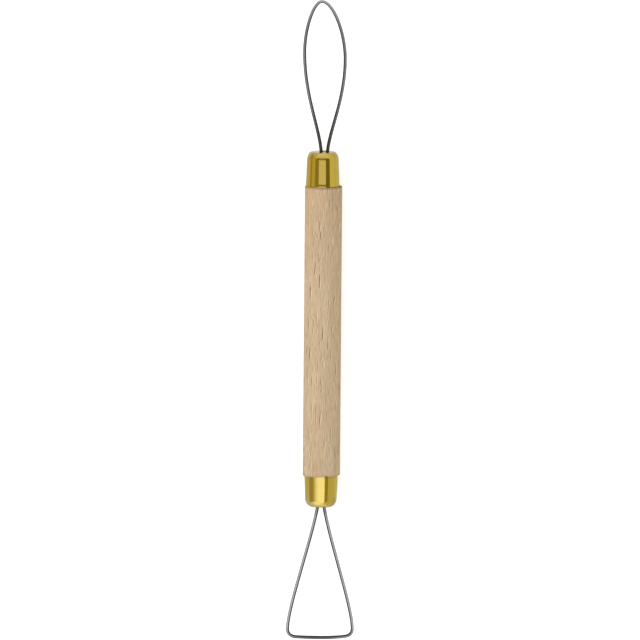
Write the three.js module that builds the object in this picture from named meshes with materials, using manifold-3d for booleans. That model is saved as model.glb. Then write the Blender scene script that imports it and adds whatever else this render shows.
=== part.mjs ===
// Double-ended loop tool for clay: a turned beech dowel, a drawn brass cap pressed on each end, and a loop
// of spring wire glued into each end through its cap. One loop is a teardrop, the other a triangle.
//
// Millimetres. The tool lies on a surface with both loops level: +Y points to the teardrop, +Z is up, and
// the origin is on the surface, under the middle of the tool's box.
//
// Each end is built in a frame of its own, with its origin on the dowel's axis in the shoulder that the cap
// sits against, and +Y away from the dowel. The triangle's end is then turned half round the X axis, so +X
// is the same side of the tool at both ends.
import * as THREE from 'three';
import { mergeVertices } from 'three/addons/utils/BufferGeometryUtils.js';
import Module from 'manifold-3d';

const wasm = await Module();
wasm.setup();

// Dowel
const handleDiameter = 11.8;    // across opposite flats
const handleLength = 91.8;      // from shoulder to shoulder
const shoulderBreak = 0.4;      // sanded edge of each shoulder
const tenonChamfer = 0.5;

// Brass caps
const shoulderStep = 0.6;       // how far the dowel stands proud of a cap's mouth
const capWall = 0.4;
const capTaper = 0.3;           // what a cap's radius loses from its mouth to its dome

// Spring wire
const wireDiameter = 1.05;
const legGap = 0.4;             // clear space between the two legs inside the bore
const mouthGap = 0.95;          // clear space between them where they leave the cap
const legDepth = 20;            // from the cap's end face to the ends of the legs

// Set adhesive in the bores
const glueSetback = 0.6;        // from the tenon's end to the adhesive
const legTip = 0.5;             // bare wire past the adhesive
const boreEndRoom = 1;          // empty bore past the ends of the legs

// Clearances
const capClearance = 0.05;      // cap to tenon, all round
const holeClearance = 0.15;     // wire to the hole in the cap
const glueFilm = 0.3;           // wire to the wall of the bore
const glueClearance = 0.05;     // adhesive to the bore, and to the wire

// What differs from one end to the other. A runout or an offset is measured towards +X.
const teardropEnd = {
  capLength: 10.9,              // from the shoulder to the flat end face
  domeRise: 3,                  // length of the rounded end
  domeInset: 1.5,               // what the rounding takes off the radius
  tenonRunout: -0.3,            // the tenon was turned a little off the dowel's axis
  boreOffset: 0.15,
  legAngle: 5,                  // each leg's slant where it leaves the cap, in degrees
};
const triangleEnd = {
  capLength: 10,
  domeRise: 2.6,
  domeInset: 2,
  tenonRunout: -0.1,
  boreOffset: -0.08,
  legAngle: 10,
};

// Teardrop, from the cap's end face and the dowel's axis to the middle of the wire
const teardrop = {
  apexHeight: 47.5,
  apexOffset: -1,               // the loop leans a little
  left: { width: 6.3, height: 31.8 },
  right: { width: 6.5, height: 29.2 },
};

// Triangle, measured in the same way
const triangle = {
  baseHeight: 41.65,
  left: 10.3,                   // its outermost points, beside the corners
  right: 10.15,
  cornerRise: 2.5,              // from the outermost point to the base
  cornerRun: 2.4,
  baseBow: 0.4,                 // how far the middle of the base stands out
  baseSlant: 7,                 // slope of the base where it leaves a corner, in degrees
};

// The bends of the wire, each from one knot to the next and away from the dowel. Start and stop are the
// lengths of its two control arms, as shares of the bend's run in that direction: larger is fuller.
const legBend = { start: 0.35, stop: 0.35, steps: 1 };
const mouthBend = { start: 0.35, stop: 0.35, steps: 3 };
const teardropFlank = { start: 0.25, stop: 0.44, steps: 20 };
const teardropCrown = { start: 0.45, stop: 0.49, steps: 20 };
const triangleFlank = { start: 0.29, stop: 0.12, steps: 16 };
const triangleCorner = { start: 0.58, stop: 0.58, steps: 10 };
const triangleBase = { start: 0.34, stop: 0.34, steps: 6 };

// Facets
const turnedSides = 32;         // round every turned piece, with one flat underneath
const boreSides = 16;
const domeSteps = 5;
const wireSides = 8;
const weldDistance = 1e-5;      // points closer than this are one corner

// Sizes that follow from those above
const handleRadius = handleDiameter / 2;
const wireRadius = wireDiameter / 2;
const mouthRadius = handleRadius - shoulderStep;
const domeRadius = mouthRadius - capTaper;
const holeRadius = wireDiameter + mouthGap / 2 + holeClearance;
const boreRadius = wireDiameter + legGap / 2 + glueFilm;
const legX = (wireDiameter + legGap) / 2;
const mouthX = (wireDiameter + mouthGap) / 2;

const material = (name, color, roughness, metalness) =>
  new THREE.MeshStandardMaterial({ name, color, roughness, metalness });
const beech = () => material('beech', 0xc8ab88, 0.75, 0);
const brass = () => material('brass', 0xc9a94f, 0.2, 1);
const springSteel = () => material('spring_steel', 0x8b8e8f, 0.35, 1);
const adhesive = () => material('adhesive', 0xd9c48f, 0.5, 0);

// A solid turned about the Y axis from [radius, y] points. The radii are those of the flats, and the solid
// is turned half a facet so that one flat faces straight down.
function turned(profile, sides) {
  const toCorner = 1 / Math.cos(Math.PI / sides);
  const points = profile.map(([radius, y]) => new THREE.Vector2(radius * toCorner, y));
  return new THREE.LatheGeometry(points, sides, Math.PI / sides);
}

// A plain rod between two heights
const rod = (radius, from, to, sides) => turned([[0, from], [radius, from], [radius, to], [0, to]], sides);

// The corners of a regular polygon with its middle at x, the first of them towards +X
function polygon(radius, sides, x = 0) {
  return Array.from({ length: sides }, (_, i) => {
    const turn = (i / sides) * 2 * Math.PI;
    return new THREE.Vector2(x + radius * Math.cos(turn), radius * Math.sin(turn));
  });
}

// From a three.js geometry to a solid for cutting and joining, and back
function toSolid(geometry) {
  const bare = geometry.clone();
  bare.deleteAttribute('normal');
  bare.deleteAttribute('uv');
  const welded = mergeVertices(bare, weldDistance);
  return new wasm.Manifold(new wasm.Mesh({
    numProp: 3,
    vertProperties: Float32Array.from(welded.attributes.position.array),
    triVerts: Uint32Array.from(welded.index.array),
  }));
}

function toGeometry(solid) {
  const mesh = solid.getMesh();
  const geometry = new THREE.BufferGeometry();
  geometry.setAttribute('position', new THREE.BufferAttribute(Float32Array.from(mesh.vertProperties), 3));
  geometry.setIndex(Array.from(mesh.triVerts));
  geometry.computeVertexNormals();
  return geometry;
}

// One wall of a cap, from its mouth to the middle of its end face. The outer wall has an inset of 0, and the
// inner wall is that one moved in by the thickness of the sheet.
function capWallProfile(end, inset) {
  const domeStart = end.capLength - end.domeRise;
  const flatRadius = domeRadius - end.domeInset;
  const profile = [[mouthRadius - inset, 0]];
  for (let i = 0; i <= domeSteps; i++) {
    const turn = (i / domeSteps) * Math.PI / 2;
    profile.push([
      flatRadius + (end.domeInset - inset) * Math.cos(turn),
      domeStart + (end.domeRise - inset) * Math.sin(turn),
    ]);
  }
  profile.push([0, end.capLength - inset]);
  return profile;
}

// Drawn brass cap, with the hole that the wire passes through
function capGeometry(end) {
  const shell = [...capWallProfile(end, capWall).reverse(), ...capWallProfile(end, 0)];
  const blank = turned(shell, turnedSides).translate(end.tenonRunout, 0, 0);
  const hole = rod(holeRadius, end.capLength - end.domeRise, end.capLength + capWall, boreSides);
  return toGeometry(toSolid(blank).subtract(toSolid(hole.translate(end.boreOffset, 0, 0))));
}

// The tenon that a cap is pressed on, from inside the dowel to where the cap's dome begins
function tenonGeometry(end) {
  const length = end.capLength - end.domeRise;
  const chamferStart = length - tenonChamfer;
  const radiusAt = (y) => mouthRadius - capTaper * (y / length) - capWall - capClearance;
  const tenon = turned([
    [0, -handleRadius],
    [radiusAt(0), -handleRadius],
    [radiusAt(0), 0],
    [radiusAt(chamferStart), chamferStart],
    [radiusAt(length) - tenonChamfer, length],
    [0, length],
  ], turnedSides);
  return tenon.translate(end.tenonRunout, 0, 0);
}

// The blind bore for the legs, open at the tenon's end
function boreGeometry(end) {
  const bottom = end.capLength - legDepth - boreEndRoom;
  return rod(boreRadius, bottom, end.capLength, boreSides).translate(end.boreOffset, 0, 0);
}

// From an end's frame to the dowel's, whose origin is in the dowel's middle
const atTeardropEnd = (geometry) => geometry.translate(0, handleLength / 2, 0);
const atTriangleEnd = (geometry) => geometry.translate(0, handleLength / 2, 0).rotateX(Math.PI);

function handleGeometry() {
  const half = handleLength / 2;
  const edge = handleRadius - shoulderBreak;
  const dowel = turned([
    [0, -half],
    [edge, -half],
    [handleRadius, shoulderBreak - half],
    [handleRadius, half - shoulderBreak],
    [edge, half],
    [0, half],
  ], turnedSides);
  return toGeometry(
    toSolid(dowel)
      .add(toSolid(atTeardropEnd(tenonGeometry(teardropEnd))))
      .add(toSolid(atTriangleEnd(tenonGeometry(triangleEnd))))
      .subtract(toSolid(atTeardropEnd(boreGeometry(teardropEnd))))
      .subtract(toSolid(atTriangleEnd(boreGeometry(triangleEnd)))),
  );
}

// A point that the wire passes through, and its heading there: 0 is +Y, and 90 is +X
function knot(x, y, heading) {
  const turn = THREE.MathUtils.degToRad(heading);
  return {
    point: new THREE.Vector3(x, y, 0),
    heading: new THREE.Vector3(Math.sin(turn), Math.cos(turn), 0),
  };
}

// The curve between two knots, with a control arm along the heading of each
function curveBetween(from, to, startShare, stopShare) {
  const run = to.point.clone().sub(from.point);
  const startArm = from.heading.clone().multiplyScalar(startShare * Math.abs(run.dot(from.heading)));
  const stopArm = to.heading.clone().multiplyScalar(stopShare * Math.abs(run.dot(to.heading)));
  const afterStart = from.point.clone().add(startArm);
  const beforeStop = to.point.clone().sub(stopArm);
  return new THREE.CubicBezierCurve3(from.point, afterStart, beforeStop, to.point);
}

// A path of several curves, each swept in its own number of steps, so that the sweep stops at every knot
class SteppedPath extends THREE.Curve {
  constructor() {
    super();
    this.stretches = [];
    this.steps = 0;
  }

  addStretch(curve, steps) {
    this.stretches.push({ curve, steps });
    this.steps += steps;
  }

  getPoint(t, target = new THREE.Vector3()) {
    let along = t * this.steps;
    let i = 0;
    while (i < this.stretches.length - 1 && along > this.stretches[i].steps) {
      along -= this.stretches[i].steps;
      i += 1;
    }
    return this.stretches[i].curve.getPoint(along / this.stretches[i].steps, target);
  }

  // The sweep spaces its stops by this share of the path, and here they are spaced by steps, not by length
  getUtoTmapping(u) {
    return u;
  }
}

// The knots of one leg, from its end in the bore to the cap's end face. Side is -1 on the left.
const legKnots = (end, side) => [
  knot(end.boreOffset + side * legX, end.capLength - legDepth, 0),
  knot(end.boreOffset + side * legX, end.capLength - end.domeRise, 0),
  knot(end.boreOffset + side * mouthX, end.capLength, side * end.legAngle),
];

// A whole loop of wire, up the left leg, round the loop and down the right leg. The knots and the bends of
// each side are given from the cap to the top of the loop, and the right side is then followed backwards.
function loopGeometry(end, leftKnots, rightKnots, loopBends) {
  const left = [...legKnots(end, -1), ...leftKnots];
  const right = [...legKnots(end, 1), ...rightKnots];
  const bends = [legBend, mouthBend, ...loopBends];
  const path = new SteppedPath();
  bends.forEach((bend, i) => {
    path.addStretch(curveBetween(left[i], left[i + 1], bend.start, bend.stop), bend.steps);
  });
  const back = ({ point, heading }) => ({ point, heading: heading.clone().negate() });
  for (let i = bends.length - 1; i >= 0; i--) {
    const { start, stop, steps } = bends[i];
    path.addStretch(curveBetween(back(right[i + 1]), back(right[i]), stop, start), steps);
  }
  const section = new THREE.Shape(polygon(wireRadius, wireSides));
  return new THREE.ExtrudeGeometry(section, { steps: path.steps, extrudePath: path });
}

function teardropGeometry(end) {
  const apexY = end.capLength + teardrop.apexHeight;
  const widest = ({ width, height }, side) => knot(side * width, end.capLength + height, 0);
  return loopGeometry(
    end,
    [widest(teardrop.left, -1), knot(teardrop.apexOffset, apexY, 90)],
    [widest(teardrop.right, 1), knot(teardrop.apexOffset, apexY, -90)],
    [teardropFlank, teardropCrown],
  );
}

function triangleGeometry(end) {
  const baseY = end.capLength + triangle.baseHeight;
  const cornerY = baseY - triangle.baseBow;
  const sideKnots = (width, side) => [
    knot(side * width, cornerY - triangle.cornerRise, 0),
    knot(side * (width - triangle.cornerRun), cornerY, -side * (90 - triangle.baseSlant)),
    knot(0, baseY, -side * 90),
  ];
  return loopGeometry(
    end,
    sideKnots(triangle.left, -1),
    sideKnots(triangle.right, 1),
    [triangleFlank, triangleCorner, triangleBase],
  );
}

// Adhesive round the straight part of both legs: its section across the bore, run along it
function glueGeometry(end) {
  const bottom = end.capLength - legDepth + legTip;
  const top = end.capLength - end.domeRise - glueSetback;
  const section = new THREE.Shape(polygon(boreRadius - glueClearance, boreSides));
  for (const x of [-legX, legX]) {
    section.holes.push(new THREE.Path(polygon(wireRadius + glueClearance, wireSides, x)));
  }
  const plug = new THREE.ExtrudeGeometry(section, { depth: top - bottom, bevelEnabled: false });
  return plug.rotateX(-Math.PI / 2).translate(end.boreOffset, bottom, 0);
}

function piece(name, geometry, finish) {
  const mesh = new THREE.Mesh(geometry, finish);
  mesh.name = name;
  return mesh;
}

const upperEnd = new THREE.Group();
upperEnd.position.y = handleLength / 2;
upperEnd.add(
  piece('upper_ferrule', capGeometry(teardropEnd), brass()),
  piece('teardrop_loop', teardropGeometry(teardropEnd), springSteel()),
  piece('upper_glue_plug', glueGeometry(teardropEnd), adhesive()),
);

const lowerEnd = new THREE.Group();
lowerEnd.position.y = -handleLength / 2;
lowerEnd.rotation.x = Math.PI;
lowerEnd.add(
  piece('lower_ferrule', capGeometry(triangleEnd), brass()),
  piece('triangle_loop', triangleGeometry(triangleEnd), springSteel()),
  piece('lower_glue_plug', glueGeometry(triangleEnd), adhesive()),
);

// The dowel's middle is placed so that the tool's box has its middle over the origin
const upperReach = teardropEnd.capLength + teardrop.apexHeight;
const lowerReach = triangleEnd.capLength + triangle.baseHeight;
const tool = new THREE.Group();
tool.name = 'double_ended_loop_tool';
tool.position.set((triangle.left - triangle.right) / 2, (lowerReach - upperReach) / 2, handleRadius);
tool.add(piece('handle', handleGeometry(), beech()), upperEnd, lowerEnd);

export default tool;
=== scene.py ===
# %% [markdown]
# # A double-ended loop tool
#
# A potter draws a loop of wire over leather-hard clay to pare it away. This tool has two loops, a teardrop
# for curves and a triangle for flats and corners, one in each end of a turned beech handle. A drawn brass
# cap at each end keeps the wood from splitting where the legs of the wire go in.
#
# The sizes come from a measured model, which loads first. Every piece made below goes where that model
# says, in metres, lying on a surface at z = 0 with the teardrop towards +Y.

# %% Load the measured model
import math

import bmesh
import bpy
from mathutils import Matrix, Vector


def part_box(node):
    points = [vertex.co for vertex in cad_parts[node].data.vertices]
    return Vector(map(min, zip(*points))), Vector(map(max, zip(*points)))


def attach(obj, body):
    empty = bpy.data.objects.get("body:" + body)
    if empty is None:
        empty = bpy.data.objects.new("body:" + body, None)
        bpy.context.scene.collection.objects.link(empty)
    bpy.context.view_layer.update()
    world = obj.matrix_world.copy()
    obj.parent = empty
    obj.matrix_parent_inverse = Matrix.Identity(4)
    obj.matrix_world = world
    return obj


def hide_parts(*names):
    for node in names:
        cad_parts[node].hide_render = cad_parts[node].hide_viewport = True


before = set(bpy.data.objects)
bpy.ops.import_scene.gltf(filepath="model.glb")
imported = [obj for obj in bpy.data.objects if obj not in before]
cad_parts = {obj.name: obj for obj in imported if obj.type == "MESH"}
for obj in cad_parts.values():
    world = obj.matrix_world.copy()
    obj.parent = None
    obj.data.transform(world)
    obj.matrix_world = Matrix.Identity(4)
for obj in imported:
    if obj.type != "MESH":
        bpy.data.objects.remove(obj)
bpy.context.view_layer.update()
MM = 0.001
print("Nodes:", ", ".join(sorted(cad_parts)))

# %% [markdown]
# ## Reading the sizes
#
# The two ends are alike, so each is described by the same few sizes: where its shoulder is, how far its cap
# and its loop reach, and which way is out. The boxes of the measured pieces give them all, so nothing here
# has to be typed twice, and each cap and loop can be built by one function that is given its end.


# %% Measure the dowel and both ends
class End:
    """One end of the tool, measured outwards from the shoulder of the handle."""

    def __init__(self, name, cap_node, loop_node, out):
        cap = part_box(cap_node)
        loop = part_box(loop_node)
        inner, outer = (0, 1) if out > 0 else (1, 0)
        self.name = name
        self.out = out
        self.shoulder = cap[inner].y
        self.cap_length = abs(cap[outer].y - cap[inner].y)
        self.cap_x = (cap[0].x + cap[1].x) / 2
        self.mouth_radius = (cap[1].x - cap[0].x) / 2
        self.wire_radius = (loop[1].z - loop[0].z) / 2
        self.leg_end = (loop[inner].y - self.shoulder) * out
        self.loop_end = (loop[outer].y - self.shoulder) * out - self.wire_radius
        self.loop_x = {-1: loop[0].x + self.wire_radius, 1: loop[1].x - self.wire_radius}

    def y(self, distance):
        """The y of a place so far out from the shoulder."""
        return self.shoulder + self.out * distance


handle_low, handle_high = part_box("handle")
handle_radius = (handle_high.z - handle_low.z) / 2
axis_x = (handle_low.x + handle_high.x) / 2
axis_z = (handle_low.z + handle_high.z) / 2
upper = End("upper", "upper_ferrule", "teardrop_loop", 1)
lower = End("lower", "lower_ferrule", "triangle_loop", -1)
handle_length = upper.shoulder - lower.shoulder
handle_middle = (upper.shoulder + lower.shoulder) / 2
for end in (upper, lower):
    print(f"{end.name}: cap {end.cap_length / MM:.2f} mm, mouth radius {end.mouth_radius / MM:.2f} mm,",
          f"loop to {end.loop_end / MM:.2f} mm, legs from {end.leg_end / MM:.2f} mm")

# %% [markdown]
# ## Working as at a bench
#
# Blender's operators act on whatever is selected, so each step starts by selecting one piece and nothing
# else, and then the faces or edges that the step is about. Faces are found by their place or the way they
# point. These few helpers do that, and add the plain rod that several pieces start from.

# %% Helpers for selecting, adding and smoothing
smooth_angle = math.radians(40)
straight_out = 0.99


def select_only(piece):
    bpy.ops.object.select_all(action="DESELECT")
    piece.select_set(True)
    bpy.context.view_layer.objects.active = piece


def fresh_piece(name):
    """Names what was just added, and puts its place into its mesh."""
    piece = bpy.context.object
    piece.name = name
    piece.data.name = name
    select_only(piece)
    bpy.ops.object.transform_apply(location=True, rotation=True, scale=True)
    return piece


def add_rod(name, sides, radius, length, x, y):
    """A closed cylinder along Y, round the axis of the tool at that x, with its middle at y."""
    bpy.ops.object.select_all(action="DESELECT")
    bpy.ops.mesh.primitive_cylinder_add(
        vertices=sides,
        radius=radius,
        depth=length,
        end_fill_type="NGON",
        rotation=(math.pi / 2, 0, 0),
        location=(x, y, axis_z),
    )
    return fresh_piece(name)


def start_editing(piece, mode):
    select_only(piece)
    bpy.ops.object.mode_set(mode="EDIT")
    bpy.ops.mesh.select_mode(type=mode)
    bpy.ops.mesh.select_all(action="DESELECT")


def stop_editing():
    bpy.ops.object.mode_set(mode="OBJECT")


def pick(piece, kind, wanted):
    """Selects the vertices, edges or faces that pass a test, and nothing else."""
    bpy.ops.mesh.select_mode(type={"verts": "VERT", "edges": "EDGE", "faces": "FACE"}[kind])
    bpy.ops.mesh.select_all(action="DESELECT")
    mesh = bmesh.from_edit_mesh(piece.data)
    for element in getattr(mesh, kind):
        if wanted(element):
            element.select_set(True)
    mesh.select_flush_mode()
    bmesh.update_edit_mesh(piece.data)


def looks_out(face, end):
    """True for a face that looks straight out of that end of the tool."""
    return face.normal.y * end.out > straight_out


def merge_vertices(piece, distance):
    start_editing(piece, "VERT")
    bpy.ops.mesh.select_all(action="SELECT")
    bpy.ops.mesh.remove_doubles(threshold=distance)


def apply_modifier(piece, kind, name, **settings):
    select_only(piece)
    modifier = piece.modifiers.new(name, kind)
    for setting, value in settings.items():
        setattr(modifier, setting, value)
    bpy.ops.object.modifier_apply(modifier=name)


def smooth(piece, angle=smooth_angle):
    """Shades a piece as round, except over edges sharper than the angle, and prints its size."""
    select_only(piece)
    bpy.ops.object.shade_smooth_by_angle(angle=angle)
    report(piece)


def report(piece):
    size = piece.dimensions / MM
    print(f"{piece.name}: {len(piece.data.polygons)} faces, {size.x:.2f} x {size.y:.2f} x {size.z:.2f} mm")


# %% [markdown]
# ## The handle
#
# The real handle is 12 mm beech dowel, sanded to 11.8 mm and cut back at each end to a tenon for the cap. On
# a lathe the tenons are cut after the dowel, and the same order works here: a cylinder is the dowel, its end
# faces are inset and pulled out to make the tenons, and then inset and pushed in to make the bores.
#
# Two small faults of the real one are kept, because they show: each tenon is a little off the dowel's axis,
# and the lower shoulder was cut a little out of square.

# %% Sizes of the handle
handle_sides = 128
shoulder_break = 0.22 * MM
break_segments = 4
shoulder_zone = shoulder_break * 1.5
lower_shoulder_slope = 0.025
cap_wall = 0.4 * MM
cap_clearance = 0.05 * MM
tenon_taper = 0.3 * MM
tenon_chamfer = 0.5 * MM
bore_radius = 1.55 * MM
bore_room = 1 * MM
bore_x = {"upper": 0.15 * MM, "lower": -0.08 * MM}
dome_rise = {"upper": 3.0 * MM, "lower": 2.6 * MM}
dome_inset = {"upper": 1.5 * MM, "lower": 2.0 * MM}

# %% Add the dowel
handle = add_rod("beech_handle", handle_sides, handle_radius, handle_length, axis_x, handle_middle)
report(handle)


# %% Turn a tenon and drill its bore
def pick_end_face(piece, end):
    pick(piece, "faces", lambda face: looks_out(face, end) and len(face.verts) == handle_sides)


def pull(x, y):
    bpy.ops.mesh.extrude_region_move(TRANSFORM_OT_translate={"value": (x, y, 0)})


def scale_ring(share, x, y, share_along=1):
    """Scales a ring about a place on the axis. A share of 0 along the axis flattens it."""
    bpy.ops.transform.resize(value=(share, share_along, share), center_override=(x, y, axis_z))


def tilt_to_shoulder(**reach):
    """Turns what is selected to the slope of the lower shoulder."""
    bpy.ops.transform.rotate(
        value=-math.atan(lower_shoulder_slope),
        orient_axis="Z",
        center_override=(axis_x, lower.shoulder, axis_z),
        **reach,
    )


def turn_end(piece, end):
    """Breaks the shoulder's edge, and makes the tenon and its bore out of the end face."""
    tenon_length = end.cap_length - dome_rise[end.name]
    straight = tenon_length - tenon_chamfer
    root = end.mouth_radius - cap_wall - cap_clearance
    tip = root - tenon_taper * straight / tenon_length
    bore_shift = axis_x + bore_x[end.name] - end.cap_x
    bore_depth = tenon_length - end.leg_end + bore_room
    pick_end_face(piece, end)
    bpy.ops.mesh.region_to_loop()
    bpy.ops.mesh.bevel(offset=shoulder_break, segments=break_segments, affect="EDGES")
    if end is lower:
        pick(piece, "verts", lambda vert: (vert.co.y - lower.shoulder) < shoulder_zone)
        tilt_to_shoulder()
    pick_end_face(piece, end)
    bpy.ops.mesh.inset(thickness=handle_radius - shoulder_break - root)
    bpy.ops.transform.translate(value=(end.cap_x - axis_x, 0, 0))
    pull(0, end.out * straight)
    scale_ring(tip / root, end.cap_x, end.y(straight), share_along=0)
    pull(0, end.out * tenon_chamfer)
    scale_ring((tip - tenon_chamfer) / tip, end.cap_x, end.y(tenon_length))
    bpy.ops.mesh.inset(thickness=tip - tenon_chamfer - bore_radius)
    bpy.ops.transform.translate(value=(bore_shift, 0, 0))
    pull(0, -end.out * bore_depth)


start_editing(handle, "FACE")
for end in (upper, lower):
    turn_end(handle, end)
stop_editing()
report(handle)

# %% [markdown]
# A dowel that is sanded on a belt is never quite true. Rings are cut along its length, and a Displace
# modifier with a cloud texture then takes up to a few hundredths of a millimetre off it. The texture's
# middle level is at its top, so the wood only ever loses material and stays inside its measured size.

# %% Cut rings and sand the dowel
rings = 96
sanding_depth = 0.05 * MM
sanding_patch = 9 * MM
long_edge = handle_length * 0.9
start_editing(handle, "EDGE")
pick(handle, "edges", lambda edge: edge.calc_length() > long_edge)
bpy.ops.mesh.subdivide(number_cuts=rings)
stop_editing()


def make_uneven(piece, name, patch, depth, mid_level):
    clouds = bpy.data.textures.new(name, "CLOUDS")
    clouds.noise_scale = patch
    clouds.noise_depth = 2
    apply_modifier(
        piece, "DISPLACE", name,
        texture=clouds, texture_coords="LOCAL", strength=depth, mid_level=mid_level,
    )


make_uneven(handle, "sanded", sanding_patch, sanding_depth, mid_level=1)
report(handle)

# %% [markdown]
# Each shoulder has lost a chip of wood on its upper side, beside the cap. One vertex is pulled in, and
# proportional editing takes its neighbours along, as a fingernail would.

# %% Chip the shoulders
chip_reach = 0.6 * MM
chip_depth = 0.3 * MM
chip_x = 1.8 * MM


def chip(piece, end):
    rim = Vector((axis_x + chip_x, end.y(0), axis_z + math.sqrt(handle_radius ** 2 - chip_x ** 2)))
    mesh = bmesh.from_edit_mesh(piece.data)
    nearest = min(mesh.verts, key=lambda vert: (vert.co - rim).length).index
    pick(piece, "verts", lambda vert: vert.index == nearest)
    bpy.ops.transform.translate(
        value=(0, -end.out * chip_depth, -chip_depth),
        use_proportional_edit=True,
        proportional_edit_falloff="SMOOTH",
        proportional_size=chip_reach,
    )


start_editing(handle, "VERT")
for end in (upper, lower):
    chip(handle, end)
stop_editing()
smooth(handle)

# %% [markdown]
# ## The brass caps
#
# A cap is drawn from a disc of brass sheet: a punch pushes the disc through a die, and the cup that comes
# out has a slight taper, a rounded end and a wall of the sheet's thickness. Its mouth opens into a bell
# less than a tenth of a millimetre wide, which is hardly a shape but catches a line of light or shade. The
# hole for the wire is pierced last, and that rolls its edge inwards.
#
# A ring of vertices is the mouth. It is extruded and scaled ring by ring along the outline, whose dome is a
# quarter of an ellipse, and a Solidify modifier then gives the surface the thickness of the sheet. The bell
# is a row of distances from the mouth with how far the wall flares there, in mm.

# %% Sizes of the caps
cap_sides = 96
lip_length = 1 * MM
lip_flares = {
    "upper": (
        (0, 0.08), (0.25, 0.08), (0.3, 0.079), (0.4, 0.072), (0.46, 0.066), (0.9, 0.0095), (0.95, 0.003),
    ),
    "lower": ((0, 0.06), (0.2, 0.03), (0.4, 0.01), (0.6, 0)),
}
wall_steps = 8
cap_taper = 0.3 * MM
dome_steps = 12
flat_steps = 3
hole_radius = 1.675 * MM
hole_roll = 0.25 * MM
roll_steps = 4


# %% Draw the outline of a cap
def cap_outline(end):
    """Radius, distance from the shoulder and middle of each ring, from the mouth to the hole."""
    length = end.cap_length
    dome_start = length - dome_rise[end.name]
    inset = dome_inset[end.name]
    wall_end = end.mouth_radius - cap_taper
    flat_edge = wall_end - inset
    hole_edge = hole_radius + hole_roll
    hole_x = axis_x + bore_x[end.name]

    def wall_radius(y):
        return end.mouth_radius - cap_taper * y / dome_start

    outline = []
    for y, flare in lip_flares[end.name]:
        outline.append((wall_radius(y * MM) + flare * MM, y * MM, end.cap_x))
    for step in range(wall_steps):
        y = lip_length + (dome_start - lip_length) * step / wall_steps
        outline.append((wall_radius(y), y, end.cap_x))
    for step in range(dome_steps):
        turn = step / dome_steps * math.pi / 2
        y = dome_start + dome_rise[end.name] * math.sin(turn)
        outline.append((flat_edge + inset * math.cos(turn), y, end.cap_x))
    for step in range(flat_steps):
        share = step / flat_steps
        radius = flat_edge + (hole_edge - flat_edge) * share
        outline.append((radius, length, end.cap_x + (hole_x - end.cap_x) * share))
    for step in range(roll_steps + 1):
        turn = step / roll_steps * math.pi / 2
        radius = hole_edge - hole_roll * math.sin(turn)
        outline.append((radius, length - hole_roll * (1 - math.cos(turn)), hole_x))
    return outline


for end in (upper, lower):
    print(f"{end.name} cap: {len(cap_outline(end))} rings")


# %% Draw and pierce the caps
def draw_cap(end, name):
    outline = cap_outline(end)
    radius, y, x = outline[0]
    bpy.ops.object.select_all(action="DESELECT")
    bpy.ops.mesh.primitive_circle_add(
        vertices=cap_sides,
        radius=radius,
        rotation=(math.pi / 2, 0, 0),
        location=(x, end.y(y), axis_z),
    )
    cap = fresh_piece(name)
    start_editing(cap, "VERT")
    bpy.ops.mesh.select_all(action="SELECT")
    for next_radius, next_y, next_x in outline[1:]:
        step = (next_x - x, end.out * (next_y - y), 0)
        bpy.ops.mesh.extrude_edges_move(TRANSFORM_OT_translate={"value": step})
        scale_ring(next_radius / radius, next_x, end.y(next_y))
        radius, y, x = next_radius, next_y, next_x
    bpy.ops.mesh.select_all(action="SELECT")
    bpy.ops.mesh.normals_make_consistent(inside=False)
    stop_editing()
    report(cap)
    return cap


upper_cap = draw_cap(upper, "upper_cap")
lower_cap = draw_cap(lower, "lower_cap")

# %% [markdown]
# The lower cap follows its sloping shoulder, so its mouth is tilted to match, with proportional editing to
# spread the tilt along the wall. The sheet then gets its thickness, its cut edges are eased, and a trace of
# cloud texture gives the walls the slight waves that make reflections in thin polished brass wander.

# %% Tilt the lower mouth, and give both caps their wall
mouth_zone = 0.01 * MM
mouth_tilt_reach = 6 * MM
edge_ease = 0.07 * MM
ease_segments = 2
eased_angle = math.radians(50)
wave_height = 0.02 * MM
wave_patch = 3.5 * MM
start_editing(lower_cap, "VERT")
pick(lower_cap, "verts", lambda vert: abs(vert.co.y - lower.shoulder) < mouth_zone)
tilt_to_shoulder(
    use_proportional_edit=True,
    proportional_edit_falloff="LINEAR",
    proportional_size=mouth_tilt_reach,
)
stop_editing()

for cap in (upper_cap, lower_cap):
    apply_modifier(cap, "SOLIDIFY", "sheet", thickness=cap_wall, offset=-1, use_even_offset=True)
    apply_modifier(
        cap, "BEVEL", "eased edges",
        width=edge_ease, segments=ease_segments, limit_method="ANGLE", angle_limit=eased_angle,
    )
    make_uneven(cap, "waves", wave_patch, wave_height, mid_level=0.5)
    smooth(cap)

# %% [markdown]
# ## The loops of wire
#
# Each loop is one length of round spring wire, bent round pegs on a board and pushed into the bore by its
# two legs. A Bezier curve is bent in the same way: it has a knot at each place where a peg stood, and the
# handles of a knot set how fully the wire swings round it. Giving the curve a round bevel turns it into
# wire.
#
# A knot is given as its distance across from the middle, its distance out from the shoulder, and its heading
# in degrees, where 0 is straight out and 90 is towards +X. The left side is -1 and the right side is 1.

# %% Sizes of the loops
leg_gap = 0.4 * MM
mouth_gap = 0.95 * MM
wire_steps = 28
wire_roundness = 8
wire_smooth_angle = math.radians(50)
wire_merge = 0.001 * MM

teardrop_angle = 5
teardrop_widest = {-1: 31.8 * MM, 1: 29.2 * MM}
teardrop_apex_x = -1 * MM

triangle_angle = {-1: 10.4, 1: 10}
corner_rise = 2.5 * MM
corner_run = 2.4 * MM
base_bow = {-1: 0.2 * MM, 1: 0.4 * MM}
base_slant = {-1: 4, 1: 7}

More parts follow.
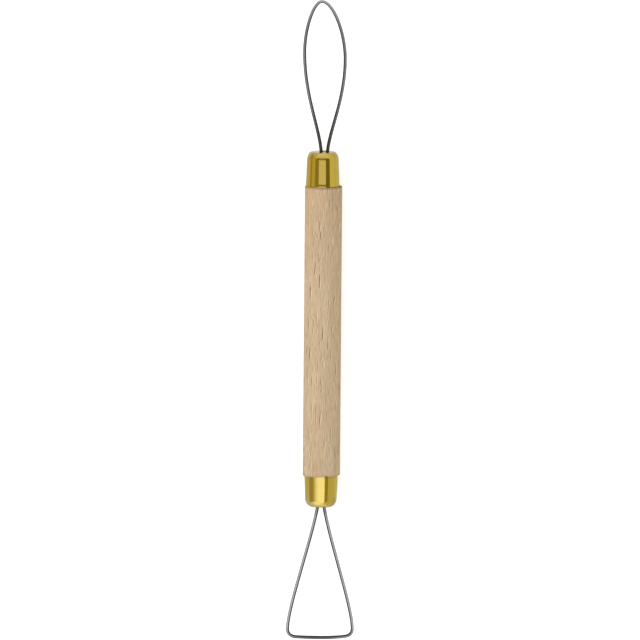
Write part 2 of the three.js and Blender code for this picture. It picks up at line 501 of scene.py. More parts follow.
leg_bend = (0.35, 0.35)
mouth_bend = (0.35, 0.35)
teardrop_bends = [leg_bend, mouth_bend, (0.25, 0.44), (0.45, 0.49)]
triangle_bends = [leg_bend, mouth_bend, (0.29, 0.17), (0.58, 0.58), (0.34, 0.34)]


# %% List the knots of each side
def leg_knots(end, side, angle):
    wire = 2 * end.wire_radius
    middle = bore_x[end.name]
    leg_x = side * (wire + leg_gap) / 2
    mouth_x = side * (wire + mouth_gap) / 2
    return [
        (middle + leg_x, end.leg_end, 0),
        (middle + leg_x, end.cap_length - dome_rise[end.name], 0),
        (middle + mouth_x, end.cap_length, side * angle),
    ]


def teardrop_side(side):
    return leg_knots(upper, side, teardrop_angle) + [
        (upper.loop_x[side] - axis_x, upper.cap_length + teardrop_widest[side], 0),
        (teardrop_apex_x, upper.loop_end, -side * 90),
    ]


def triangle_side(side):
    width = lower.loop_x[side] - axis_x
    corner_y = lower.loop_end - base_bow[side]
    return leg_knots(lower, side, triangle_angle[side]) + [
        (width, corner_y - corner_rise, 0),
        (width - side * corner_run, corner_y, -side * (90 - base_slant[side])),
        (0, lower.loop_end, -side * 90),
    ]


print(f"Knots a side: teardrop {len(teardrop_side(1))}, triangle {len(triangle_side(1))}")


# %% Bend the wire
def bend_wire(end, out_side, back_side, bends, name):
    """One wire out along one side and back along the other. The last knot of both is the same place."""
    back = [(x, y, heading + 180) for x, y, heading in reversed(back_side[:-1])]
    knots = out_side + back
    shares = bends + [(stop, start) for start, stop in reversed(bends)]
    bpy.ops.object.select_all(action="DESELECT")
    bpy.ops.curve.primitive_bezier_curve_add()
    wire = bpy.context.object
    spline = wire.data.splines[0]
    spline.bezier_points.add(len(knots) - len(spline.bezier_points))
    places = [Vector((axis_x + x, end.y(y), axis_z)) for x, y, heading in knots]
    ways = []
    for x, y, heading in knots:
        turn = math.radians(heading)
        ways.append(Vector((math.sin(turn), end.out * math.cos(turn), 0)))
    for point, place in zip(spline.bezier_points, places):
        point.handle_left_type = point.handle_right_type = "FREE"
        point.co = point.handle_left = point.handle_right = place
    for i, (start, stop) in enumerate(shares):
        run = places[i + 1] - places[i]
        arm = ways[i] * start * abs(run.dot(ways[i]))
        spline.bezier_points[i].handle_right = places[i] + arm
        arm = ways[i + 1] * stop * abs(run.dot(ways[i + 1]))
        spline.bezier_points[i + 1].handle_left = places[i + 1] - arm
    print(f"{name}: {spline.calc_length() / MM:.1f} mm of wire")
    wire.data.dimensions = "3D"
    wire.data.twist_mode = "Z_UP"
    wire.data.resolution_u = wire_steps
    spline.resolution_u = wire_steps
    wire.data.bevel_depth = end.wire_radius
    wire.data.bevel_resolution = wire_roundness
    wire.data.use_fill_caps = True
    select_only(wire)
    bpy.ops.object.convert(target="MESH")
    wire = fresh_piece(name)
    merge_vertices(wire, wire_merge)
    bpy.ops.mesh.normals_make_consistent(inside=False)
    stop_editing()
    smooth(wire, wire_smooth_angle)
    return wire


teardrop_wire = bend_wire(upper, teardrop_side(-1), teardrop_side(1), teardrop_bends, "teardrop_wire")
triangle_wire = bend_wire(lower, triangle_side(1), triangle_side(-1), triangle_bends, "triangle_wire")

# %% [markdown]
# ## The glue in the bores
#
# Epoxy holds the legs of each loop in its bore. Little of it shows, but the tool falls apart without it, so
# it is made as it sets: a plug that fills the bore, with a hollow, glossy top where the glue crept up the
# wood. A Boolean modifier makes room for the two legs. Where its cuts meet the rim it can leave slivers too
# thin to see, and merging close vertices takes them out.

# %% Sizes of the glue plugs
glue_sides = 48
glue_clearance = 0.05 * MM
glue_setback = 0.6 * MM
glue_rim = 0.2 * MM
glue_hollow = 0.35 * MM
hollow_shares = (0.5, 0.35, 0.15)
bare_tip = 0.5 * MM
glue_merge = 0.01 * MM
drill_sides = 24
drill_length = 1.5


# %% Set the glue
def set_glue(end, name):
    bottom = end.leg_end + bare_tip
    top = end.cap_length - dome_rise[end.name] - glue_setback
    length = top - bottom
    middle_x = axis_x + bore_x[end.name]
    middle_y = end.y((top + bottom) / 2)
    plug = add_rod(name, glue_sides, bore_radius - glue_clearance, length, middle_x, middle_y)
    start_editing(plug, "FACE")
    pick(plug, "faces", lambda face: looks_out(face, end))
    for share in hollow_shares:
        bpy.ops.mesh.inset(thickness=glue_rim)
        bpy.ops.transform.translate(value=(0, -end.out * glue_hollow * share, 0))
    stop_editing()
    for side in (-1, 1):
        leg_x = middle_x + side * (end.wire_radius + leg_gap / 2)
        leg_radius = end.wire_radius + glue_clearance
        drill = add_rod("drill", drill_sides, leg_radius, length * drill_length, leg_x, middle_y)
        apply_modifier(plug, "BOOLEAN", "leg", object=drill, operation="DIFFERENCE", solver="EXACT")
        bpy.data.objects.remove(drill)
    merge_vertices(plug, glue_merge)
    stop_editing()
    smooth(plug)
    return plug


upper_glue = set_glue(upper, "upper_glue")
lower_glue = set_glue(lower, "lower_glue")

# %% [markdown]
# ## Finishes
#
# Every finish is made of nodes that read the piece's own coordinates, so it is fixed in the piece like grain
# in wood. The first helpers add a node, set its options and fill its sockets: a socket takes either a plain
# value or the output of another node.
#
# Most of a finish is patterns turned into tints. A pattern is a number that changes from place to place. A
# range says at which value of it a tint starts and at which it is full, and then the tint's share at both.
# Each tint is laid over the ones before it, as glazes are.


# %% Helpers for finishes
def colour(red, green, blue):
    """A colour as a paint program writes it, from 0 to 255, turned into the linear light that nodes use."""
    def linear(value):
        share = value / 255
        return share / 12.92 if share <= 0.04045 else ((share + 0.055) / 1.055) ** 2.4
    return (linear(red), linear(green), linear(blue), 1)


def fill(node, sockets):
    for socket, value in sockets.items():
        if isinstance(value, bpy.types.NodeSocket):
            node.id_data.links.new(value, node.inputs[socket])
        else:
            node.inputs[socket].default_value = value


def add_node(tree, kind, sockets=None, **options):
    made = tree.nodes.new(kind)
    for option, value in options.items():
        setattr(made, option, value)
    fill(made, sockets or {})
    return made


def new_finish(name):
    finish = bpy.data.materials.new(name)
    finish.use_nodes = True
    return finish, finish.node_tree.nodes["Principled BSDF"]


def maths(operation, first, second=0.0, third=0.0):
    return add_node(
        first.id_data, "ShaderNodeMath", {0: first, 1: second, 2: third}, operation=operation,
    ).outputs["Value"]


def mapped(vector, scale=(1, 1, 1), location=(0, 0, 0), rotation=(0, 0, 0)):
    return add_node(
        vector.id_data, "ShaderNodeMapping",
        {"Vector": vector, "Scale": scale, "Location": location, "Rotation": rotation},
    ).outputs["Vector"]


def along_axis(vector, axis):
    return add_node(vector.id_data, "ShaderNodeSeparateXYZ", {"Vector": vector}).outputs[axis]


def own_place(finish):
    return add_node(finish.node_tree, "ShaderNodeTexCoord").outputs["Object"]


def millimetres(finish):
    """The piece's own coordinates, in millimetres."""
    return mapped(own_place(finish), scale=(1 / MM, 1 / MM, 1 / MM))


def noise(vector, scale, detail=2.0, roughness=0.5, output="Fac"):
    """Noise in waves about one unit long, on coordinates that are scaled first."""
    return add_node(
        vector.id_data, "ShaderNodeTexNoise",
        {"Vector": mapped(vector, scale), "Scale": 1.0, "Detail": detail, "Roughness": roughness},
    ).outputs[output]


def between(value, low, high, low_out=0.0, high_out=1.0):
    """Low gives low_out and high gives high_out, with a smooth change between them."""
    return add_node(
        value.id_data, "ShaderNodeMapRange",
        {"Value": value, "From Min": low, "From Max": high, "To Min": low_out, "To Max": high_out},
        interpolation_type="SMOOTHSTEP",
    ).outputs["Result"]


def tinted(tone, tints):
    """Lays tints over a tone. In a Mix node for colours 6 and 7 are A and B, and 2 is the result."""
    for amount, tint in tints:
        mix = add_node(amount.id_data, "ShaderNodeMix", {0: amount, 6: tone, 7: tint}, data_type="RGBA")
        tone = mix.outputs[2]
    return tone


def embossed(height, strength, depth):
    """The surface's slopes where a pattern raises it."""
    return add_node(
        height.id_data, "ShaderNodeBump", {"Strength": strength, "Distance": depth, "Height": height},
    ).outputs["Normal"]


other_half = (-40.0, -30.0)


def end_share(along, end, full, none, share, start=0.0):
    """The share at full mm out from the start, fading to 0 at none mm, and 0 on the other half."""
    outward = maths("MULTIPLY_ADD", along, end.out, -end.out * end.y(start) / MM)
    faded = between(outward, none, full, 0.0, share)
    return maths("MULTIPLY", faded, between(outward, *other_half))


def report_finish(finish):
    print(f"{finish.name}: {len(finish.node_tree.nodes)} nodes")


# %% [markdown]
# ### Raw beech
#
# Beech is pale and even, and its mark is the ray: a thin sheet of cells that runs from the heart to the
# bark. Seen edge on, rays are short dark dashes along the grain. Seen from the side they are pale patches.
# Nothing has to decide which to draw if the pattern is made in the solid, so a Voronoi texture is stretched
# until its cells have a ray's proportions, and the dowel's surface cuts it as the lathe cuts the wood. The
# rays stand edge on where the top of the dowel cuts them, and are made fainter towards its sides. Some
# stretches of the wood are busier with them than others, and each has a pale line beside it, a painted
# highlight on the ray's lit edge.
#
# Growth rings are circles round a pith that lies well outside the dowel. Beside each shoulder the wood is
# painted darker, as painted shade where it meets the cap.
#
# A kind of ray is given as its cell in mm, its size in cells, and the share of the cells that have one.

# %% Colours of the beech
pale_wood = colour(205, 179, 143)
dull_wood = colour(193, 168, 133)
upper_shade_pink = colour(195, 164, 128)
ring_wood = colour(186, 155, 118)
pale_fibre_and_ray_highlight = colour(232, 213, 184)
dark_fibre = colour(158, 128, 95)
dark_vessel = colour(150, 118, 85)
short_ray_brown = colour(142, 109, 77)
long_ray_brown = colour(128, 94, 62)
shoulder_shade_wood = colour(150, 122, 80)

# %% Sizes of the grain
slow_wave, slow_reach = (8.0, 34.0, 8.0), 1.7
quick_wave, quick_reach = (1.2, 5.0, 1.2), 0.6
long_ray = ((0.45, 7.5, 9.0), 0.4, 0.6)
short_ray = ((0.32, 2.6, 6.0), 0.45, 0.7)
long_ray_highlight_aside, short_ray_highlight_aside = -0.5, -0.6
ray_softness = 0.08
busy_patch = (3.5, 18.0, 3.5)
tone_patch = (2.8, 16.0, 2.8)
vessel_cell = (0.2, 1.5, 0.4)
fibre_cell = (0.2, 4.0, 0.4)
ring_width = 3.1
pith = (9.0, 0.0, -46.0)
pith_lean = math.radians(1.6)
shoulder_shade_full, shoulder_shade_none = -0.1, -0.9
grain_depth, grain_strength = 0.04 * MM, 0.6
fibre_rise, vessel_rise, long_ray_rise, short_ray_rise = 1.2, 0.8, -1.0, -0.6

# %% Ranges and shares of the tints
ray_sides = (0.7, 1.0, 1.0, 0.3)
busy_range = (0.38, 0.58, 0.45, 1.0)
patch_range = (0.3, 0.7)
upper_shade_range = (10.0, 40.0, 0.0, 0.8)
pale_fibre_range = (0.52, 0.78, 0.0, 0.7)
dark_fibre_range = (0.48, 0.22, 0.0, 0.7)
vessel_range = (0.42, 0.2, 0.0, 0.9)
ring_rise, ring_start = (0.3, 0.9), (0.0, 0.2)
dull_range = (0.3, 0.7, 0.78, 0.64)
ring_share = 0.3
ray_highlight_share = 0.5
short_ray_share = 0.7
shoulder_shade_share = {"upper": 0.8, "lower": 0.3}

# %% Let the grain wander
raw_beech, surface = new_finish("raw_beech")
tree = raw_beech.node_tree
place = millimetres(raw_beech)
across = along_axis(place, "X")
along = along_axis(place, "Y")


def times(first, second):
    return maths("MULTIPLY", first, second)


def per_mm(cell):
    return tuple(1 / size for size in cell)


def shifted(vector, wave, reach):
    """Moves the grain sideways, in waves as long as the wave and as wide as the reach."""
    drift = noise(vector, per_mm(wave), 1.0, output="Color")
    return add_node(
        tree, "ShaderNodeVectorMath", {0: drift, 1: (reach, 0.0, reach), 2: vector},
        operation="MULTIPLY_ADD",
    ).outputs["Vector"]


wander = shifted(shifted(place, slow_wave, slow_reach), quick_wave, quick_reach)


# %% Make the rays and the fibres
def grain_noise(cell, detail):
    return noise(wander, per_mm(cell), detail, 0.6)


def ray_layer(cell, reach, kept, aside=0.0):
    """Spindles: one in each cell that is kept, and none bigger than the reach."""
    moved = mapped(wander, per_mm(cell), (aside, 0, 0))
    cells = add_node(tree, "ShaderNodeTexVoronoi", {"Vector": moved, "Scale": 1.0, "Randomness": 1.0})
    luck = add_node(tree, "ShaderNodeSeparateColor", {"Color": cells.outputs["Color"]})
    size = between(luck.outputs["Red"], 1 - kept, 1.0, 0.0, reach)
    edge = maths("SUBTRACT", size, cells.outputs["Distance"])
    return between(edge, 0.0, ray_softness)


sideways = maths("MULTIPLY_ADD", across, MM / handle_radius, -axis_x / handle_radius)
edge_on = between(maths("ABSOLUTE", sideways), *ray_sides)
busy = times(between(grain_noise(busy_patch, 2.0), *busy_range), edge_on)
long_rays = times(ray_layer(*long_ray), busy)
short_rays = times(ray_layer(*short_ray), busy)
long_ray_highlights = times(ray_layer(*long_ray, long_ray_highlight_aside), edge_on)
short_ray_highlights = times(ray_layer(*short_ray, short_ray_highlight_aside), edge_on)
vessels = grain_noise(vessel_cell, 2.0)
fibres = grain_noise(fibre_cell, 3.0)
patches = grain_noise(tone_patch, 3.0)

# %% Draw the growth rings
leaned = mapped(wander, location=tuple(-size for size in pith), rotation=(pith_lean, 0, 0))
level = add_node(tree, "ShaderNodeVectorMath", {0: leaned, 1: (1, 0, 1)}, operation="MULTIPLY")
from_pith = add_node(
    tree, "ShaderNodeVectorMath", {0: level.outputs["Vector"]}, operation="LENGTH",
).outputs["Value"]
ring = maths("FRACT", maths("DIVIDE", from_pith, ring_width))
late_wood = times(between(ring, *ring_rise), between(ring, *ring_start))

# %% Tint the beech
tints = [
    (between(patches, *patch_range), dull_wood),
    # Painted shade: the wood turns pinker and darker towards the teardrop end.
    (between(along, *upper_shade_range), upper_shade_pink),
    (times(late_wood, ring_share), ring_wood),
    (between(fibres, *pale_fibre_range), pale_fibre_and_ray_highlight),
    (between(fibres, *dark_fibre_range), dark_fibre),
    (between(vessels, *vessel_range), dark_vessel),
    # Painted highlights: a pale line beside each ray, on its lit edge.
    (times(short_ray_highlights, ray_highlight_share), pale_fibre_and_ray_highlight),
    (times(long_ray_highlights, ray_highlight_share), pale_fibre_and_ray_highlight),
    (times(short_rays, short_ray_share), short_ray_brown),
    (long_rays, long_ray_brown),
]
# Painted shade: the wood is darker beside each shoulder, where it meets the cap.
for end in (upper, lower):
    shoulder_shade = end_share(along, end, shoulder_shade_full, shoulder_shade_none, shoulder_shade_share[end.name])
    tints.append((shoulder_shade, shoulder_shade_wood))

height = times(fibres, fibre_rise)
rises = [(long_rays, long_ray_rise), (short_rays, short_ray_rise), (vessels, vessel_rise)]
for pattern, rise in rises:
    height = maths("MULTIPLY_ADD", pattern, rise, height)
fill(surface, {
    "Base Color": tinted(pale_wood, tints),
    "Roughness": between(fibres, *dull_range),
    "Specular IOR Level": 0.35,
    "Normal": embossed(height, grain_strength, grain_depth),
})
report_finish(raw_beech)

# %% [markdown]
# ### Polished brass
#
# The caps come out of the press bright, are tumbled, and get a thin coat of lacquer that keeps them from
# turning brown. Polished metal is mostly what it reflects, so the colour stays simple, and the work goes
# into the surface: fine marks round the cap from the die, small pits, and lacquer over it all. The very
# edge of the mouth is painted brown, as painted shade where the cap meets the wood.

# %% Colours and sizes of the brass
bright_brass = colour(212, 180, 78)
stained_brass = colour(196, 160, 62)
mouth_shade_brown = colour(118, 92, 34)
stain_waves = (0.5, 0.5, 0.5)
die_mark_waves = (0.25, 14.0, 0.25)
pit_waves = (5.0, 5.0, 5.0)
stain_range = (0.5, 0.75, 0.0, 0.35)
mouth_shade_full, mouth_shade_none = 0.1, 0.8
mouth_shade_share = {"upper": 0.1, "lower": 0.2}
brass_roughness, pit_roughness, lacquer_roughness = 0.06, 0.1, 0.04
mark_depth, mark_strength, pit_rise = 0.004 * MM, 0.12, 0.5

# %% Draw the brass
lacquered_brass, surface = new_finish("lacquered_brass")
place = millimetres(lacquered_brass)
along = along_axis(place, "Y")
stains = noise(place, stain_waves, 4.0, 0.6)
die_marks = noise(place, die_mark_waves, 3.0, 0.6)
pits = noise(place, pit_waves, 3.0, 0.7)
tints = [(between(stains, *stain_range), stained_brass)]
# Painted shade: the edge of each cap's mouth is brown, where it meets the wood.
for end in (upper, lower):
    mouth_shade = end_share(along, end, mouth_shade_full, mouth_shade_none, mouth_shade_share[end.name])
    tints.append((mouth_shade, mouth_shade_brown))
marks = maths("MULTIPLY_ADD", pits, pit_rise, die_marks)
fill(surface, {
    "Base Color": tinted(bright_brass, tints),
    "Metallic": 1.0,
    "Roughness": maths("MULTIPLY_ADD", pits, pit_roughness, brass_roughness),
    "Normal": embossed(marks, mark_strength, mark_depth),
    "Coat Weight": 1.0,
    "Coat Roughness": lacquer_roughness,
})
report_finish(lacquered_brass)

# %% [markdown]
# ### Drawn spring wire
#
# Wire gets its fine lines from the dies that it is pulled through, so they run along it, round every bend. A
# pattern that has to follow a shape reads the UV map that the curve left on the mesh, where one direction
# runs along the wire and the other goes round it, from the outside over the top to the inside of the loop.
#
# The half of the tool with the triangle is made paler than the teardrop, and the crown of the teardrop is
# paler too, as a painted highlight. A line along the inside of both loops, the base of the triangle, most of
# all its outer edge, and the ends near the caps are painted darker, as painted shade.

# %% Colours of the wire
steel = colour(140, 142, 148)
smudged_steel = colour(160, 162, 168)
crown_highlight_steel = colour(188, 190, 194)
triangle_steel = colour(195, 194, 196)
base_shade_steel = colour(104, 103, 92)
base_edge_shade_steel = colour(44, 45, 42)
line_grey = colour(104, 106, 105)
cap_shade_steel = colour(62, 62, 62)
inner_shade_steel = colour(60, 62, 64)

# %% Places on the wire, in mm along the tool and in turns round the wire
line_waves = (12.0, 26.0, 1.0)
smudge_waves = (0.35, 0.35, 0.35)
crown_highlight_range = (92.0, 100.0, 0.0, 0.8)
triangle_half = (10.0, -10.0)
base_shade_range = (-97.0, -100.5, 0.0, 0.75)
base_edge_shade_range = (-100.8, -101.05, 0.0, 0.9)
line_range = (0.55, 0.75, 0.0, 0.35)
inner_shade_shares = (0.8, 0.95)
cap_shade_full = 1.0
cap_shade_none = {"upper": 22.0, "lower": 4.0}
cap_shade_share = {"upper": 0.85, "lower": 0.45}
topmost = 0.17
innermost = 0.45
inner_shade_reach = 0.19
line_depth, line_strength = 0.006 * MM, 0.3
steel_roughness, line_roughness = 0.2, 0.18

# %% Draw the wire's finish
drawn_steel, surface = new_finish("drawn_steel")
place = millimetres(drawn_steel)
along = along_axis(place, "Y")
wire_map = add_node(drawn_steel.node_tree, "ShaderNodeUVMap", uv_map="UVMap").outputs["UV"]
around = along_axis(wire_map, "Y")
lines = noise(wire_map, line_waves, 4.0, 0.65)
smudges = noise(place, smudge_waves, 3.0)
tints = [
    (smudges, smudged_steel),
    # Painted highlight: the crown of the teardrop is paler.
    (between(along, *crown_highlight_range), crown_highlight_steel),
    (between(along, *triangle_half), triangle_steel),
    # Painted shade: the base of the triangle is darker, most of all along its outer edge.
    (between(along, *base_shade_range), base_shade_steel),
    (between(along, *base_edge_shade_range), base_edge_shade_steel),
    (between(lines, *line_range), line_grey),
]
# Painted shade: the wire is darker near each cap.
for end in (upper, lower):
    share = cap_shade_share[end.name]
    cap_shade = end_share(along, end, cap_shade_full, cap_shade_none[end.name], share, end.cap_length)
    tints.append((cap_shade, cap_shade_steel))
# Painted shade: a dark line along the inside of both loops.
from_inside = maths("ABSOLUTE", maths("SUBTRACT", around, innermost))
inside = between(from_inside, innermost - topmost, inner_shade_reach)
inner_shade_share = between(along, *triangle_half, *inner_shade_shares)
tints.append((times(inside, inner_shade_share), inner_shade_steel))
fill(surface, {
    "Base Color": tinted(steel, tints),
    "Metallic": 1.0,
    "Roughness": maths("MULTIPLY_ADD", lines, line_roughness, steel_roughness),
    "Normal": embossed(lines, line_strength, line_depth),
})
report_finish(drawn_steel)

# %% [markdown]
# ### Set epoxy
#
# Epoxy sets hard and glossy, a clear amber that looks milky where stirring left small bubbles in it. It is
# seen only in the shade of the cap, so a glossy surface with pale specks is enough, with no see-through
# glass.

# %% Mix the epoxy
amber = colour(214, 190, 134)
dark_amber = colour(190, 160, 102)
milky_amber = colour(236, 222, 184)
streak_waves = (1.2, 1.2, 1.2)
bubble_scale = 5.0
bubble_range = (0.28, 0.16, 0.0, 0.6)
bubble_depth, bubble_strength = 0.02 * MM, 0.4
epoxy_roughness = 0.12

set_epoxy, surface = new_finish("set_epoxy")
place = millimetres(set_epoxy)
cells = add_node(set_epoxy.node_tree, "ShaderNodeTexVoronoi", {"Vector": place, "Scale": bubble_scale})
bubbles = cells.outputs["Distance"]
streaks = noise(place, streak_waves, 3.0)
tints = [(streaks, dark_amber), (between(bubbles, *bubble_range), milky_amber)]
fill(surface, {
    "Base Color": tinted(amber, tints),
    "Roughness": epoxy_roughness,
    "Normal": embossed(bubbles, bubble_strength, bubble_depth),
})
report_finish(set_epoxy)

# %% [markdown]
# ## Putting the tool together
#
# Each piece gets its finish, takes the place of the plain measured piece that it was made from, and rides on
# the tool's one body, because nothing on a loop tool moves.

# %% Finish and place the pieces
assembly = [
    (handle, raw_beech, "handle", "beech"),
    (upper_cap, lacquered_brass, "upper_ferrule", "brass"),
    (lower_cap, lacquered_brass, "lower_ferrule", "brass"),
    (teardrop_wire, drawn_steel, "teardrop_loop", "spring_steel"),
    (triangle_wire, drawn_steel, "triangle_loop", "spring_steel"),
    (upper_glue, set_epoxy, "upper_glue_plug", "adhesive"),
    (lower_glue, set_epoxy, "lower_glue_plug", "adhesive"),
]
for piece, finish, node, slot in assembly:
    piece.data.materials.clear()
    piece.data.materials.append(finish)
    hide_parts(node)
    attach(piece, "root")
print(f"{len(assembly)} pieces in place")

# %% [markdown]
# ## Floor and light
#
# The tool lies on a white surface in a white room. The floor is pale and takes the tool's soft shadow, and a
# light of its own, which only the camera sees, lifts it to white. The room looks white to the camera and in
# reflections, and gives the wood and the floor a slightly weaker, even light. One soft lamp on the left
# models the round handle.

# %% Lay the floor
floor_size = 8
floor_tone = 0.86
floor_lift = 0.5
bpy.ops.object.select_all(action="DESELECT")
bpy.ops.mesh.primitive_plane_add(size=floor_size, location=(0, 0, 0))
floor = bpy.context.object
floor.name = "floor"
white_floor, floor_surface = new_finish("white_floor")
to_camera = add_node(white_floor.node_tree, "ShaderNodeLightPath").outputs["Is Camera Ray"]
fill(floor_surface, {
    "Base Color": (floor_tone, floor_tone, floor_tone, 1),
    "Roughness": 1.0,
    "Specular IOR Level": 0.0,
    "Emission Color": (1, 1, 1, 1),
    "Emission Strength": times(to_camera, floor_lift),
})
floor.data.materials.append(white_floor)
print(f"Floor {floor_size} m square")

# %% Light the room
room_strength = 0.8
key_strength = 0.95
key_softness = math.radians(60)
key_from_left = math.radians(42)
key_from_below = math.radians(12)

world = bpy.data.worlds.new("white room")
bpy.context.scene.world = world
world.use_nodes = True
rays = add_node(world.node_tree, "ShaderNodeLightPath").outputs
looking = maths("MAXIMUM", rays["Is Camera Ray"], rays["Is Glossy Ray"])
fill(world.node_tree.nodes["Background"], {
    "Color": (1, 1, 1, 1),
    "Strength": between(looking, 0.0, 1.0, room_strength, 1.0),
})

bpy.ops.object.light_add(type="SUN", location=(-0.5, -0.3, 0.8))
key = bpy.context.object
key.name = "key_lamp"
key.data.energy = key_strength
key.data.angle = key_softness
key.rotation_euler = (-key_from_below, -key_from_left, 0)
key.visible_glossy = False
print(f"Room {room_strength}, key lamp {key_strength}")

# %% [markdown]
# ### What the metal reflects
#
# Polished brass in an all-white room has no shape. Photographers hang bright and dark cards round the metal
# to draw it, and these are seen only in reflections. A cap is a mirror bent round an axis, so it squeezes
# the room into upright stripes, and its rounded end bends the stripes into arches.
#
# Each cap has cards of its own, divided by a line across the ceiling. Over the teardrop's end a plain box
# with a brown frame on three sides shows as a dark U, and a far box brightens with y beyond it. Over the
# triangle's end a box brightens with x, from yellow to a cool white, with a brown frame on its right only,
# and a near box lights the rounded end. Walls stand on all sides but the far one, tan on the left and yellow
# on the right, and cards lie on the floor beside the tool, under the caps and beyond them.
#
# A card is given by two opposite corners in metres, a tone and a brightness. A few fade along x or y to
# another light.

# %% Helper for the cards
ceiling = 1.0


def lit(tone, brightness):
    return tuple(brightness * channel for channel in tone) + (1,)


def card(name, low_corner, high_corner, light, fade=None):
    """A shining flat board between two corners that share a coordinate. Only reflections see it."""
    low_corner, high_corner = Vector(low_corner), Vector(high_corner)
    size = high_corner - low_corner
    bpy.ops.object.select_all(action="DESELECT")
    bpy.ops.mesh.primitive_plane_add(size=1)
    board = fresh_piece(name)
    if size.x == 0:
        board.rotation_euler = (0, math.radians(90), 0)
        board.scale = (size.z, size.y, 1)
    elif size.y == 0:
        board.rotation_euler = (math.radians(90), 0, 0)
        board.scale = (size.x, size.z, 1)
    else:
        board.scale = (size.x, size.y, 1)
    board.location = (low_corner + high_corner) / 2
    bpy.ops.object.transform_apply(location=True, rotation=True, scale=True)
    finish, surface = new_finish(name)
    if fade:
        axis, first, last, last_light = fade
        distance = along_axis(own_place(finish), axis)
        light = tinted(light, [(between(distance, first, last), last_light)])
    fill(surface, {
        "Base Color": (0, 0, 0, 1),
        "Specular IOR Level": 0.0,
        "Emission Color": light,
        "Emission Strength": 1.0,
    })
    board.data.materials.append(finish)
    for ray in ("camera", "diffuse", "transmission", "shadow"):
        setattr(board, f"visible_{ray}", False)


# %% Tones of the cards
cool = (0.98, 1.07, 1.3)
blue = (1, 1.15, 1.5)
mint = (1, 1.08, 0.95)
plain = (1.0, 1.0, 0.96)
yellow = (1.0, 1.03, 0.62)
tan = (1.0, 0.94, 0.48)
brown = (1.0, 0.88, 0.18)
rust = (1.0, 0.82, 0.2)

# %% Places of the cards
divide = -0.128
box_top = 0.2
frame_top = 0.33
frame_left_top, frame_right_top = 0.55, 0.5
upper_box_left, upper_box_right = -0.53, 0.40
lower_box_right = 0.48
lower_box_near = -0.8
far_box_height = ceiling + 0.01
far_box_fade = (0.25, 0.8)
lower_box_fade = (-1.5, -0.15)
near_box_fade = (-0.3, 1.0)

upper_left, lower_left = -1.45, -1.66
right = 1.2
near = -2.4
far = 3
far_wall_start = 0.9
near_wall_start = -0.9
foot_height = 0.2

on_floor = 0.0005
beside = 0.012
inner_floor = 0.06
outer_floor = 0.4
upper_end, lower_end = upper.y(upper.cap_length), lower.y(lower.cap_length)
past_upper, past_lower, past_lower_middle = 0.085, -0.09, -0.075
middle_side = 0.02

# %% Hang the cards
cards = [
    ("upper_box", (upper_box_left, divide, ceiling), (upper_box_right, box_top, ceiling), plain, 0.84),
    ("upper_frame_left", (upper_left, divide, ceiling), (upper_box_left, frame_left_top, ceiling),
     brown, 0.34),
    ("upper_frame_right", (upper_box_right, divide, ceiling), (right, frame_right_top, ceiling),
     brown, 0.21),
    ("upper_frame_top", (upper_box_left, box_top, ceiling), (upper_box_right, frame_top, ceiling),
     brown, 0.26),
    ("upper_far_box", (upper_left, frame_top, far_box_height), (right, far, far_box_height), plain, 0.4,
     ("Y", *far_box_fade, lit(plain, 0.9))),
    ("upper_left_wall", (upper_left, divide, foot_height), (upper_left, far_wall_start, ceiling), tan, 0.6),
    ("upper_left_foot", (upper_left, divide, 0), (upper_left, far_wall_start, foot_height), rust, 0.45),
    ("upper_far_left_wall", (upper_left, far_wall_start, 0), (upper_left, far, ceiling), plain, 0.68),
    ("upper_right_wall", (right, divide, 0), (right, far, ceiling), yellow, 0.76),
    ("lower_box", (lower_left, lower_box_near, ceiling), (lower_box_right, divide, ceiling), yellow, 0.55,
     ("X", *lower_box_fade, lit(cool, 1.44))),
    ("lower_frame_right", (lower_box_right, lower_box_near, ceiling), (right, divide, ceiling), brown, 0.4),
    ("lower_near_box", (lower_left, near, ceiling), (right, lower_box_near, ceiling), cool, 1.35,
     ("X", *near_box_fade, lit(plain, 0.75))),
    ("lower_near_wall", (lower_left, near, 0), (right, near, ceiling), cool, 1.0),
    ("lower_left_wall", (lower_left, near_wall_start, 0), (lower_left, divide, ceiling), tan, 0.44),
    ("lower_near_left_wall", (lower_left, near, 0), (lower_left, near_wall_start, ceiling), plain, 0.95),
    ("lower_right_wall", (right, near, 0), (right, divide, ceiling), yellow, 0.65),
]
for name, low_corner, high_corner, tone, brightness, *fade in cards:
    card(name, low_corner, high_corner, lit(tone, brightness), *fade)
print(f"{len(cards)} cards overhead and upright")

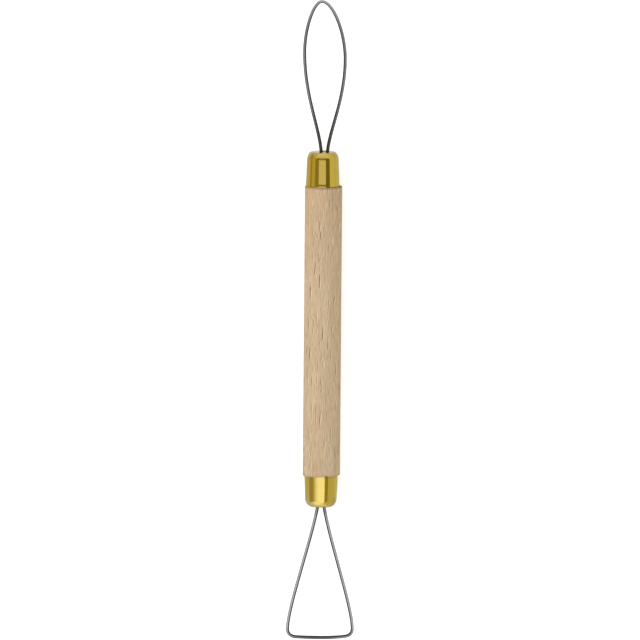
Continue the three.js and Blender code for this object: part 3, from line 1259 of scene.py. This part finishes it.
# %% Lay the cards on the floor
floor_cards = [
    ("upper_far_floor", (upper_left, 0), (-inner_floor, outer_floor), rust, 0.45),
    ("upper_near_floor", (-inner_floor, 0), (-beside, upper_end), tan, 0.66),
    ("lower_far_floor", (lower_left, -outer_floor), (-inner_floor, 0), tan, 0.66),
    ("lower_near_floor", (-inner_floor, lower_end), (-beside, 0), tan, 0.66),
    ("right_far_floor", (inner_floor, -outer_floor), (right, outer_floor), yellow, 0.72),
    ("right_near_floor", (beside, lower_end), (inner_floor, upper_end), yellow, 0.7),
    ("under_upper_cap", (-beside, upper.shoulder), (beside, upper_end), yellow, 0.53),
    ("under_lower_cap", (-beside, lower_end), (beside, lower.shoulder), yellow, 0.58),
    ("beyond_upper_left", (-inner_floor, upper_end), (-middle_side, past_upper), plain, 0.46),
    ("beyond_upper_middle", (-middle_side, upper_end), (middle_side, past_upper), plain, 0.66),
    ("beyond_upper_right", (middle_side, upper_end), (inner_floor, past_upper), plain, 0.6),
    ("beyond_lower_left", (-inner_floor, past_lower), (-beside, lower_end), blue, 0.62),
    ("beyond_lower_middle", (-beside, past_lower_middle), (beside, lower_end), cool, 0.6),
    ("beyond_lower_right", (beside, past_lower), (inner_floor, lower_end), mint, 0.52),
]
for name, low_corner, high_corner, tone, brightness in floor_cards:
    card(name, (*low_corner, on_floor), (*high_corner, on_floor), lit(tone, brightness))
print(f"{len(floor_cards)} cards on the floor")

# %% [markdown]
# ## The camera
#
# The tool is seen almost straight from above, from 6.8 degrees towards the teardrop, and it leans less than
# half a degree in the picture. A long lens far away keeps its outline true. The picture's scale and one
# point of it place the camera: the pixel where the middle of the dowel is.

# %% Place the camera
picture_size = 640
metres_per_pixel = 0.3152 * MM
dowel_middle_pixel = (322.46, 330.55)
camera_tilt = math.radians(6.8)
camera_roll = math.radians(0.454)
camera_distance = 8

towards_camera = Vector((0, math.sin(camera_tilt), math.cos(camera_tilt)))
level_right = Vector((1, 0, 0))
level_up = towards_camera.cross(level_right)
picture_right = level_right * math.cos(camera_roll) + level_up * math.sin(camera_roll)
picture_up = level_up * math.cos(camera_roll) - level_right * math.sin(camera_roll)
dowel_middle = Vector((axis_x, handle_middle, axis_z))
off_right = (picture_size / 2 - dowel_middle_pixel[0]) * metres_per_pixel
off_up = (dowel_middle_pixel[1] - picture_size / 2) * metres_per_pixel
aim = dowel_middle + picture_right * off_right + picture_up * off_up

camera_data = bpy.data.cameras.new("camera")
camera = bpy.data.objects.new("camera", camera_data)
bpy.context.scene.collection.objects.link(camera)
camera_data.sensor_width = 36
camera_data.lens = camera_data.sensor_width * camera_distance / (picture_size * metres_per_pixel)
camera.location = aim + towards_camera * camera_distance
turned = Matrix((picture_right, picture_up, towards_camera)).transposed()
camera.rotation_euler = turned.to_euler()
bpy.context.scene.camera = camera
bpy.context.scene.view_settings.view_transform = "Standard"
print(f"Lens {camera_data.lens:.0f} mm")
